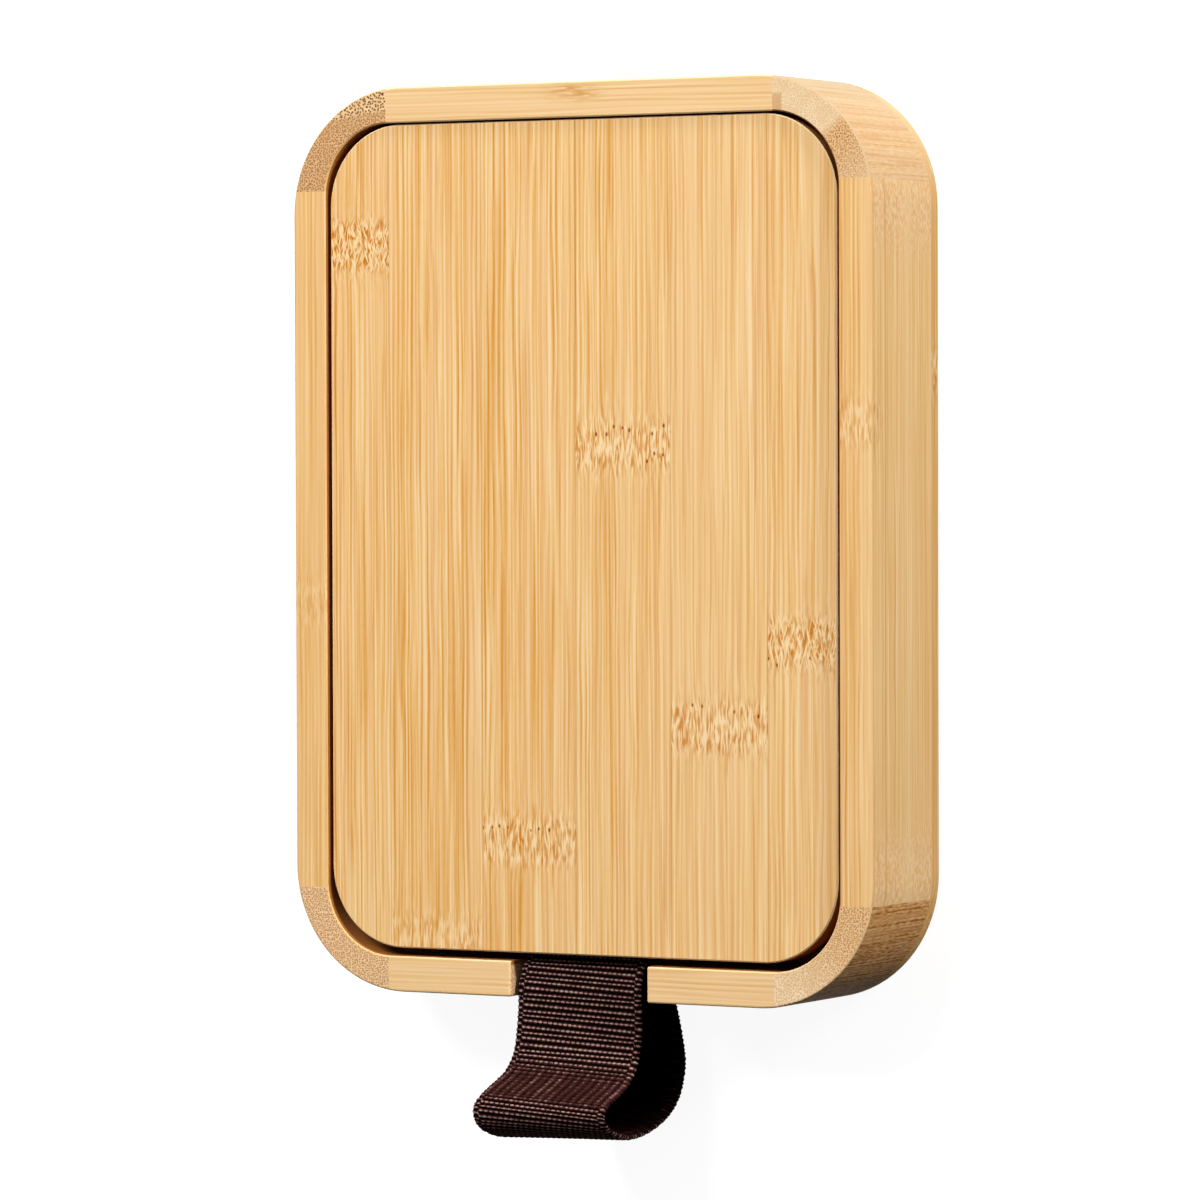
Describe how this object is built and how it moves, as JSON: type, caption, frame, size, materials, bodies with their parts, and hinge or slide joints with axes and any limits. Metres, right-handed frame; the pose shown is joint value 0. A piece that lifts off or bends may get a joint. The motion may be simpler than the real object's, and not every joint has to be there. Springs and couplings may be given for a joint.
{
  "type": "brush box",
  "caption": "Shallow rounded bamboo box for brushes with an inset lid that turns on hidden pins near one end and is lifted by a webbing loop that comes out of a notch at the other.",
  "frame": {"origin": "centre of the back face, which is the face the box lies on", "axes": "+Z out of the lid, +Y towards the hinge end, -Y towards the pull loop, +X to the right seen from above the lid with the hinge end up"},
  "size_m": [0.123, 0.1962, 0.0413],
  "materials": {
    "bamboo_rail": "satin",
    "bamboo_corner": "satin",
    "bamboo_lid": "satin",
    "bamboo_back": "satin",
    "bamboo_rest": "matte",
    "pin_steel": "satin",
    "nickel_plating": "polished",
    "webbing": "matte",
    "plate_steel": "satin",
    "screw_steel": "satin"
  },
  "bodies": {
    "box": {"back_board": "bamboo_back", "rail_top": "bamboo_rail", "rail_left": "bamboo_rail", "rail_right": "bamboo_rail", "rail_bottom_left": "bamboo_rail", "rail_bottom_right": "bamboo_rail", "corner_top_left": "bamboo_corner", "corner_top_right": "bamboo_corner", "corner_bottom_left": "bamboo_corner", "corner_bottom_right": "bamboo_corner", "lid_rest_left": "bamboo_rest", "lid_rest_right": "bamboo_rest", "box_magnet_left": "nickel_plating", "box_magnet_right": "nickel_plating"},
    "lid": {"lid_strip_1": "bamboo_lid", "lid_strip_2": "bamboo_lid", "lid_strip_3": "bamboo_lid", "lid_strip_4": "bamboo_lid", "lid_strip_5": "bamboo_lid", "lid_strip_6": "bamboo_lid", "hinge_pin_left": "pin_steel", "hinge_pin_right": "pin_steel", "lid_magnet_left": "nickel_plating", "lid_magnet_right": "nickel_plating", "strap": "webbing", "strap_plate": "plate_steel", "strap_screw_left": "screw_steel", "strap_screw_right": "screw_steel"}
  },
  "joints": [
    {"name": "lid_hinge", "type": "hinge", "parent": "box", "child": "lid", "pos_m": [0, 0.0601, 0.0237], "axis": [-1, 0, 0], "range_deg": [0, 140]}
  ]
}
